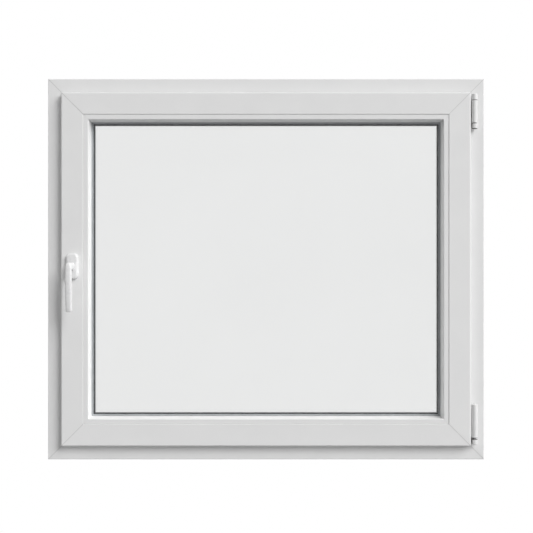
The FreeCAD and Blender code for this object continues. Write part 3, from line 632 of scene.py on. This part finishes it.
cap_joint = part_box("top_hinge_cap")[0].z
shaft_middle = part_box("top_hinge_sleeve")[0].z - PIN_GAP / 2
sleeve_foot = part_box("bottom_hinge_sleeve")[0].z
pin_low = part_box("top_hinge_pin")[0]
bearing_low, bearing_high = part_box("bottom_hinge_bearing")
top_cover = shaded_cover("white_cover_top", [(cap_joint, JOINT_SHADE_HALF_WIDTH, COVER_SHADE)])
pin_bands = [(shaft_middle, SHAFT_HALF_WIDTH, SHAFT_STEEL_AND_SHADE), (pin_low.z, FOOT_SHADE_HALF_WIDTH, COVER_SHADE)]
pin_cover = shaded_cover("white_cover_pin", pin_bands, pin_low.x)
foot_cover = shaded_cover("white_cover_foot", [(sleeve_foot, JOINT_SHADE_HALF_WIDTH, COVER_SHADE)])
bearing_cover = shaded_cover(
    "white_cover_bearing", [(bearing_high.z, JOINT_SHADE_HALF_WIDTH, COVER_SHADE)], bearing_low.x
)
COVERS = {
    "top_hinge_cap": top_cover,
    "top_hinge_sleeve": top_cover,
    "top_hinge_pin": pin_cover,
    "bottom_hinge_sleeve": foot_cover,
    "bottom_hinge_bearing": bearing_cover,
}
print("cap joint at", round(cap_joint, 4), "and shaft at", round(shaft_middle, 4))
print("sleeve foot at", round(sleeve_foot, 4))

# %% [markdown]
# ## Seals and spacer
#
# The inner glazing seal is a grey lip that shows as a fine line round the glass. Behind it,
# between the panes, lies the dark blue-grey spacer with fine ribs along its length. Rubber is matt
# and a little dusty, so its colour wanders more than the plastic's. The spacer is stuck to the
# panes with black butyl, so its faces towards the glass are black: the normal tells which they are.

# %% Rubber and spacer
grey_seal = moulded_finish(
    "grey_seal", low=(0.34, 0.355, 0.368), high=(0.40, 0.415, 0.43),
    smooth=0.50, rough=0.62, peel_size=0.0007, depth=0.00002,
)
dark_seal = moulded_finish(
    "dark_seal", low=(0.045, 0.047, 0.05), high=(0.075, 0.077, 0.08),
    smooth=0.52, rough=0.66, peel_size=0.0007, depth=0.00002,
)
dark_spacer = moulded_finish(
    "dark_spacer", low=(0.014, 0.017, 0.020), high=(0.024, 0.028, 0.033),
    smooth=0.36, rough=0.48, peel_size=0.0008, depth=0.000015,
)
print("materials", grey_seal.name, dark_seal.name, dark_spacer.name)

# %% Black sealing strip on the spacer
SPACER_MIRROR_LEVEL = 0.15
BUTYL = (0.012, 0.012, 0.013)
BUTYL_SPAN = (0.75, 0.9)

tree = dark_spacer.node_tree
normal = add_node(tree, "ShaderNodeTexCoord").outputs["Normal"]
facing = add_node(tree, "ShaderNodeSeparateXYZ", Vector=normal)
through_depth = add_math(tree, "ABSOLUTE", facing.outputs["Y"])
to_pane = map_range(tree, through_depth, *BUTYL_SPAN, 0.0, 1.0)
lay_colour(tree, to_pane, BUTYL)
shader_of(tree).inputs["Specular IOR Level"].default_value = SPACER_MIRROR_LEVEL
print("sealing strip on", dark_spacer.name)

# %% [markdown]
# ## Glass
#
# The panes are closed solids, so a plain refracting shader works: light bends in and out of each
# sheet. Coated double glazing passes about four fifths of the light and its tint is slightly
# green. Lamps must reach what lies behind the panes, so shadow rays pass straight through.

# %% Glass
GLASS_LOW = (0.890, 0.893, 0.892)
GLASS_HIGH = (0.898, 0.901, 0.900)
GLASS_BENDING = 1.5
LAMP_TINT = (0.9, 0.91, 0.905, 1)
WAVE_SIZE = 0.4
WAVE_DEPTH = 0.00005
TINT_CLOUDS = 0.3


def clear_glass(name):
    """Float glass: slight tint, a slow waviness of its faces, and lamp light let through."""
    made, tree, shader, place = start_material(name)
    skin = use_group(tree, moulded, Place=place, Peel_Size=WAVE_SIZE, Cloud_Size=TINT_CLOUDS)
    spread = map_range(tree, skin.outputs["Clouds"], *NOISE_SPAN, 0.0, 1.0)
    tree.links.new(blend_colour(tree, spread, GLASS_LOW, GLASS_HIGH), shader.inputs["Base Color"])
    bump = add_node(
        tree, "ShaderNodeBump", Strength=1.0, Distance=WAVE_DEPTH, Height=skin.outputs["Peel"]
    )
    tree.links.new(bump.outputs[0], shader.inputs["Normal"])
    shader.inputs["Roughness"].default_value = 0.0
    shader.inputs["IOR"].default_value = GLASS_BENDING
    shader.inputs["Transmission Weight"].default_value = 1.0
    rays = add_node(tree, "ShaderNodeLightPath")
    through = add_node(tree, "ShaderNodeBsdfTransparent", Color=LAMP_TINT)
    either = add_node(tree, "ShaderNodeMixShader", Fac=rays.outputs["Is Shadow Ray"])
    tree.links.new(shader.outputs[0], either.inputs[1])
    tree.links.new(through.outputs[0], either.inputs[2])
    ending = next(item for item in tree.nodes if item.type == "OUTPUT_MATERIAL")
    tree.links.new(either.outputs[0], ending.inputs["Surface"])
    return made


glass = clear_glass("clear_glass")
print("material", glass.name)

# %% [markdown]
# ## Dress the CAD nodes
#
# The record names a finish slot for every node. Each slot gets its material, and the profile
# slots choose the level or the upright one by the node's longer side.

# %% Materials onto nodes
FINISHES = {
    "white_cover": white_cover,
    "white_handle": white_handle,
    "grey_seal": grey_seal,
    "dark_seal": dark_seal,
    "dark_spacer": dark_spacer,
    "hinge_steel": hinge_steel,
    "clear_glass": glass,
}
for row in frame["record"]["subparts"]:
    piece = nodes[row["node"]]
    low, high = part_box(row["node"])
    stands = (high - low).z > (high - low).x
    slot = row["material_slot"]
    finish = FINISHES[slot] if slot in FINISHES else PROFILES[slot, stands]
    piece.data.materials.clear()
    piece.data.materials.append(COVERS.get(row["node"], finish))
print("dressed", len(nodes), "nodes")

# %% [markdown]
# ## Rings of points into a mesh
#
# Every new piece here is a stack of rings, each with the same number of points: a profile that is
# carried along a path. Quads join neighbouring rings, and a fan of triangles closes each end, so
# the piece is a watertight shell. A path that comes back to its start needs no ends.

# %% Ring meshes
SHARP_DEGREES = 38


def shell_volume(points, corners):
    """Six times the volume inside a shell, positive where its faces point outwards."""
    first, second, third = (points[corners[:, number]] for number in range(3))
    return np.einsum("ij,ij->", first, np.cross(second, third))


def ring_piece(name, rings, looped=False):
    """A smooth shell over rings of points, with its ends closed or looped.

    The rings are one array of (steps along, points round, 3).
    """
    steps, around, _ = rings.shape
    index = np.arange(steps * around).reshape(steps, around)
    if looped:
        index = np.concatenate([index, index[:1]])
    beside = np.roll(index, -1, axis=1)
    quads = np.stack([index[:-1], beside[:-1], beside[1:], index[1:]], axis=-1).reshape(-1, 4)
    points = rings.reshape(-1, 3)
    fans = np.zeros((0, 3), dtype=int)
    if not looped:
        middle = len(points) + np.arange(2)
        points = np.concatenate([points, rings[[0, -1]].mean(axis=1)])
        first = np.stack([beside[0], index[0], np.full(around, middle[0])], axis=-1)
        last = np.stack([index[-1], beside[-1], np.full(around, middle[1])], axis=-1)
        fans = np.concatenate([first, last])
    corners = np.concatenate([quads[:, :3], quads[:, [0, 2, 3]], fans])
    if shell_volume(points, corners) < 0:
        quads = quads[:, ::-1]
        fans = fans[:, ::-1]
    mesh = bpy.data.meshes.new(name)
    mesh.from_pydata(points.tolist(), [], quads.tolist() + fans.tolist())
    mesh.polygons.foreach_set("use_smooth", np.ones(len(mesh.polygons), dtype=bool))
    mesh.set_sharp_from_angle(angle=math.radians(SHARP_DEGREES))
    piece = bpy.data.objects.new(name, mesh)
    bpy.context.scene.collection.objects.link(piece)
    print(name, len(quads) * 2 + len(fans), "triangles")
    return piece


def dress_piece(piece, node, body, finish):
    """Lets a new piece stand for a CAD node, ride on its body and take its finish."""
    piece.data.materials.append(finish)
    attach(piece, body)
    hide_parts(node)


print("ring helpers ready")

# %% [markdown]
# ## The lever
#
# The lever is one casting. Its neck comes straight out of the rosette, turns down in a soft elbow
# and becomes a grip that bows gently away from the sash and comes back at its foot. A tube swept
# along an L would pinch inside the elbow. Instead two curves are drawn in the plane through the
# spindle, one over the outside and one under the inside, and every ring spans from one to the
# other. A ring is a superellipse, which is a rectangle with continuously rounded corners. The bow
# and the thickness of the grip are parabolas, each given by three numbers of millimetres: for the
# square of the way down the grip, for the way itself, and the part that stays the same.

# %% Lever curves
MM = 0.001
spindle_across, rosette_face, spindle_up = frame["joints"][0]["pos_m"]
sash_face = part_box("handle_rosette")[1].y
lever_low, lever_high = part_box("handle_lever")
GRIP_LENGTH = spindle_up - lever_low.z
GRIP_REACH = sash_face - lever_low.y
GRIP_BOW = (-13.7, 7.4, -1.1)
GRIP_THICKNESS = (-3.8, 2.0, 12.0)
NECK_GAP = 0.5 * MM
NECK_ROOT = sash_face - rosette_face + NECK_GAP
NECK_TOP = lever_high.z - spindle_up
NECK_UNDER = -9.5 * MM
ELBOW_START = 8 * MM
FOOT_ROUND = 2.6 * MM
FOOT_START = 1 - FOOT_ROUND / GRIP_LENGTH


def grip_front(down):
    """How far the grip's front stands off the sash: a parabola that peaks a quarter of its way."""
    return GRIP_REACH + np.polyval(GRIP_BOW, down) * MM


def grip_back(down):
    """The grip's back: its front less a thickness that thins towards the foot."""
    return grip_front(down) - np.polyval(GRIP_THICKNESS, down) * MM


def bent_curve(step, root, corner, side, leave):
    """Points out and up along a curve, by step.

    It is straight from step 0 to 1, a parabolic bend to 2, and runs down the grip to 3.
    """
    before = np.array([corner[0] - ELBOW_START, corner[1]])
    first = np.array([side(leave), -leave * GRIP_LENGTH])
    run = np.clip(step, 0, 1)[:, None]
    bend = np.clip(step - 1, 0, 1)[:, None]
    straight = np.array([root, corner[1]]) * (1 - run) + before * run
    pull = 2 * np.array(corner) * bend * (1 - bend)
    rounded = before * (1 - bend) ** 2 + pull + first * bend ** 2
    down = leave + (FOOT_START - leave) * np.clip(step - 2, 0, 1)
    along = np.stack([side(down), -down * GRIP_LENGTH], axis=1)
    return np.where(step[:, None] < 1, straight, np.where(step[:, None] < 2, rounded, along))


NECK_RINGS = 8
ELBOW_RINGS = 18
GRIP_RINGS = 44
OVER_LEAVES = 0.02
UNDER_LEAVES = 0.15

lever_steps = np.concatenate([
    np.linspace(0, 1, NECK_RINGS),
    np.linspace(1, 2, ELBOW_RINGS)[1:],
    np.linspace(2, 3, GRIP_RINGS)[1:],
])
over_corner = (grip_front(0.0), NECK_TOP)
under_corner = (grip_back(0.0), NECK_UNDER)
over = bent_curve(lever_steps, NECK_ROOT, over_corner, grip_front, OVER_LEAVES)
under = bent_curve(lever_steps, NECK_ROOT, under_corner, grip_back, UNDER_LEAVES)
print("grip stands off", round(over[:, 0].max() / MM, 1), "mm")
print("grip ends", round(-over[-1, 1] / MM, 1), "mm down")

# %% Lever rings
LEVER_AROUND = 56
NECK_HALF_WIDTH = 7.5 * MM
ELBOW_SPREAD = 0.25 * MM
GRIP_SPREAD = (-2.7, 2.2, 0.0)
WIDTH_SPARE = 0.4 * MM
ROUND_POWER = 2.0
NECK_POWER = 2.3
GRIP_POWER = 2.8
COLLAR_RADIUS = 7.3 * MM
COLLAR_DEPTH = 2.5 * MM
FOOT_RINGS = 7
FOOT_SHRINK = 0.45


def squared_circle(around, power):
    """Superellipses on the unit square: cosine and sine to 2 over a power, with their sign kept."""
    angle = np.linspace(0, 2 * np.pi, around, endpoint=False)
    reach = 2 / power[:, None]
    cosine, sine = np.cos(angle), np.sin(angle)
    return np.sign(cosine) * np.abs(cosine) ** reach, np.sign(sine) * np.abs(sine) ** reach


def lever_rings():
    """Rings between the two curves, half a width by step, from a sunk collar to a rounded foot."""
    turn = np.linspace(0, np.pi / 2, FOOT_RINGS + 2)[1:-1]
    middle = (over + under) / 2
    half = (over - under) / 2
    elbow = np.clip(lever_steps - 1, 0, 1)
    grip = np.clip(lever_steps - 2, 0, 1)
    width = NECK_HALF_WIDTH + ELBOW_SPREAD * elbow + np.polyval(GRIP_SPREAD, grip) * MM
    width = np.minimum(width, lever_high.x - spindle_across + WIDTH_SPARE)
    power = NECK_POWER + (GRIP_POWER - NECK_POWER) * elbow
    foot_way = (middle[-1] - middle[-2]) / np.linalg.norm(middle[-1] - middle[-2])
    foot_middle = middle[-1] + np.sin(turn)[:, None] * foot_way * FOOT_ROUND
    shrink = 1 - (1 - np.cos(turn)) * FOOT_SHRINK
    collar = np.array([NECK_ROOT - COLLAR_DEPTH, NECK_ROOT])
    middle = np.concatenate([np.stack([collar, np.zeros(2)], axis=1), middle, foot_middle])
    half = np.concatenate([np.tile([0, COLLAR_RADIUS], (2, 1)), half, half[-1] * shrink[:, None]])
    width = np.concatenate([np.full(2, COLLAR_RADIUS), width, width[-1] * shrink])
    power = np.concatenate([np.full(2, ROUND_POWER), power, np.full(len(turn), power[-1])])
    across_ring, along_ring = squared_circle(LEVER_AROUND, power)
    out_up = middle[:, None, :] + along_ring[:, :, None] * half[:, None, :]
    return np.stack([
        spindle_across + across_ring * width[:, None],
        sash_face - out_up[:, :, 0],
        spindle_up + out_up[:, :, 1],
    ], axis=-1)


lever = ring_piece("lever_casting", lever_rings())
dress_piece(lever, "handle_lever", "handle", white_handle)

# %% [markdown]
# ## The rosette
#
# The rosette is a shallow cap screwed under the lever. Seen from the room it is a long shape with
# round corners and a soft shoulder. It is a stack of outlines: each is the same rounded rectangle
# drawn further in and further out from the sash. The innermost ones blend into the round socket
# that the lever's collar turns in.

# %% Rosette
ROSETTE_CORNER = 11.0 * MM
ROSETTE_AROUND = 64
SIDE_SHARE = 0.8
SHOULDER = 5.2 * MM
SHOULDER_REACH = 1.1
SHOULDER_START = 0.2 * MM
SHOULDER_RINGS = 12
SOCKET_RADIUS = 7.45 * MM
SOCKET_DEPTH = 3.0 * MM
SOCKET_RINGS = 6
rosette_low, rosette_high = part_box("handle_rosette")


def rounded_outline(inset, half_across, half_up, corner, around):
    """A rounded rectangle drawn in by an inset: a quarter circle round each of four centres."""
    quarter = np.linspace(0, np.pi / 2, around // 4)
    angle = np.concatenate([quarter + side * np.pi / 2 for side in range(4)])
    side_across = np.repeat([1, -1, -1, 1], around // 4) * (half_across - corner)
    side_up = np.repeat([1, 1, -1, -1], around // 4) * (half_up - corner)
    left = corner - inset[:, None]
    return side_across + left * np.cos(angle), side_up + left * np.sin(angle)


def rosette_rings():
    """Outlines up the side, over an elliptic shoulder, in to the socket, and down its wall."""
    height = rosette_high.y - rosette_low.y
    half_across = (rosette_high.x - rosette_low.x) / 2
    half_up = (rosette_high.z - rosette_low.z) / 2
    turn = np.linspace(0, np.pi / 2, SHOULDER_RINGS)
    side = height - SHOULDER
    drawn_in = SHOULDER_START + SHOULDER * SHOULDER_REACH * (1 - np.cos(turn))
    inset = np.concatenate([[0.0, 0.0], drawn_in])
    level = np.concatenate([[0.0, side * SIDE_SHARE], side + SHOULDER * np.sin(turn)])
    across, up = rounded_outline(inset, half_across, half_up, ROSETTE_CORNER, ROSETTE_AROUND)
    bearing = np.arctan2(up[-1] / half_up, across[-1] / half_across)
    blend = np.linspace(0, 1, SOCKET_RINGS + 1)[1:, None]
    socket_across = across[-1] * (1 - blend) + SOCKET_RADIUS * np.cos(bearing) * blend
    socket_up = up[-1] * (1 - blend) + SOCKET_RADIUS * np.sin(bearing) * blend
    across = np.concatenate([across, socket_across, socket_across[-1:]])
    up = np.concatenate([up, socket_up, socket_up[-1:]])
    level = np.concatenate([level, np.full(len(blend), height), [height - SOCKET_DEPTH]])
    return np.stack([
        spindle_across + across,
        sash_face - np.repeat(level[:, None], across.shape[1], axis=1),
        spindle_up + up,
    ], axis=-1)


rosette = ring_piece("rosette_cap", rosette_rings())
dress_piece(rosette, "handle_rosette", "window", white_handle)

# %% [markdown]
# ## Spacer and glazing seals
#
# These run right round the glass as one profile with mitred corners. A profile is a closed list of
# depths and insets. Carried to the four corners of the window it makes four rings, and the loop
# closes on itself. The spacer's inner face has fine ribs along its length, and the seals' lips are
# rounded where they press on the glass.

# %% Profiles round the window
def round_the_window(depth, inset):
    """Four rings of one profile: each corner of the frame drawn in by the inset, at each depth."""
    across = np.array([-1, 1, 1, -1])[:, None] * (frame_width / 2 - inset)
    up = np.where(np.array([0, 0, 1, 1])[:, None] == 0, cad_low.z + inset, cad_high.z - inset)
    return np.stack([across, np.broadcast_to(depth, across.shape), up], axis=-1)


def inset_of(node):
    """How far a ring-shaped node starts inside the frame's outer edge."""
    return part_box(node)[0].z - cad_low.z


SPACER_RIBS = 9
SPACER_HEIGHT = 10.5 * MM
RIB_DEPTH = 0.35 * MM
RIB_STEPS = 8

spacer_low, spacer_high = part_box("spacer_bar")
spacer_foot = inset_of("spacer_bar")
rib = np.linspace(0, 1, SPACER_RIBS * RIB_STEPS + 1)
face_depth = spacer_low.y + (spacer_high.y - spacer_low.y) * rib
rib_wave = 0.5 - 0.5 * np.cos(2 * np.pi * SPACER_RIBS * rib)
face_inset = spacer_foot + SPACER_HEIGHT - RIB_DEPTH * rib_wave
spacer_depth = np.concatenate([[spacer_low.y], face_depth, [spacer_high.y]])
spacer_inset = np.concatenate([[spacer_foot], face_inset, [spacer_foot]])
spacer = ring_piece("spacer_ribbed", round_the_window(spacer_depth, spacer_inset), looped=True)
dress_piece(spacer, "spacer_bar", "window", dark_spacer)

# %% Glazing seals
LIP_ROUND = 1.3 * MM
LIP_STEPS = 7


def seal_profile(node, lip_inset, faces_room):
    """A strip between pane and plastic, its free edge a quarter circle on the side that is seen."""
    low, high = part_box(node)
    seen, hidden = (low.y, high.y) if faces_room else (high.y, low.y)
    inward = 1 if hidden > seen else -1
    turn = np.linspace(0, np.pi / 2, LIP_STEPS)
    lip_depth = seen + inward * LIP_ROUND * (1 - np.sin(turn))
    lip_across = lip_inset - LIP_ROUND * (1 - np.cos(turn))
    depth = np.concatenate([[seen], lip_depth[::-1], [hidden, hidden]])
    inset = np.concatenate([[inset_of(node)], lip_across[::-1], [lip_inset, inset_of(node)]])
    return depth, inset


SEAL_HEIGHT = 12.0 * MM
for name, node, slot, finish, faces_room in (
    ("inner_seal_strip", "inner_glazing_seal", "grey_seal", grey_seal, True),
    ("outer_seal_strip", "outer_glazing_seal", "dark_seal", dark_seal, False),
):
    strip = seal_profile(node, inset_of(node) + SEAL_HEIGHT, faces_room)
    piece = ring_piece(name, round_the_window(*strip), looped=True)
    dress_piece(piece, node, "window", finish)

# %% [markdown]
# ## End
#

# %% End
import json
